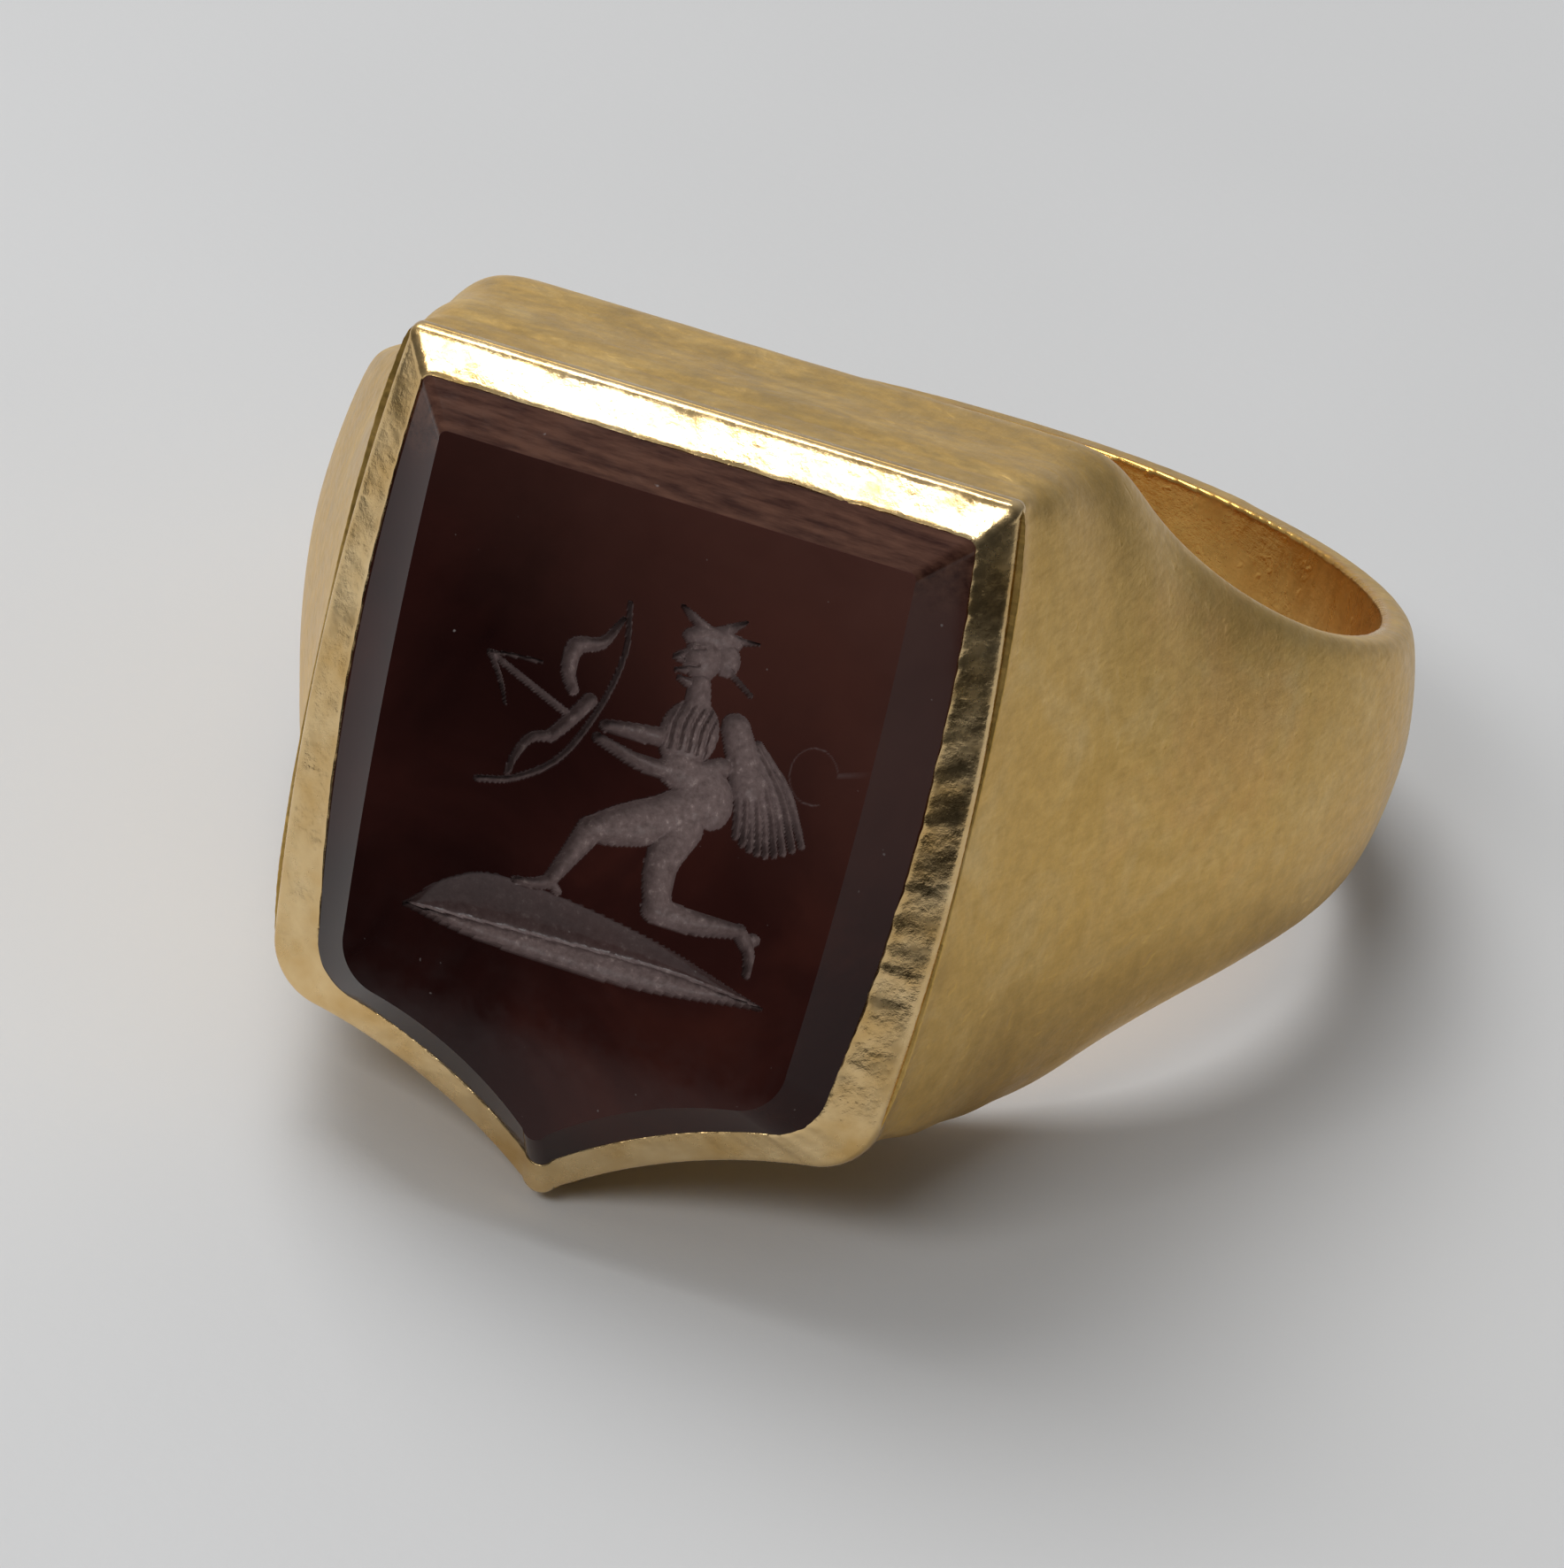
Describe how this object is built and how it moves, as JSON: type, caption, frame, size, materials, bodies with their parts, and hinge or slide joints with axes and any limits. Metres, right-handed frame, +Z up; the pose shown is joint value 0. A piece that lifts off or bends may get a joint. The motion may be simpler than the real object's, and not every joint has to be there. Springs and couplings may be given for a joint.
{
  "type": "signet ring",
  "caption": "Finger ring with a flat shield-shaped bezel, broad tapering shoulders and a bevelled dark stone engraved with a small seal device.",
  "frame": {"origin": "bottom centre of the ring's bounding box, where it stands on the floor", "axes": "+Z up from the floor the ring lies on; the engraved face looks along -Y and a little up; +X runs across the shield to the viewer's right as one looks at the face"},
  "size_m": [0.021, 0.0268, 0.0142],
  "materials": {
    "gold_satin": "satin",
    "gold_polished": "polished",
    "gold_plain": "as cut",
    "setter_cement": "matt",
    "dark_stone": "polished, engraving frosted"
  },
  "bodies": {
    "root": {"shank": "gold_satin", "head_and_shoulders": "gold_satin", "bezel_rim": "gold_polished", "bearing_ledge": "gold_plain", "bedding_cement": "setter_cement", "intaglio_stone": "dark_stone"}
  },
  "joints": []
}
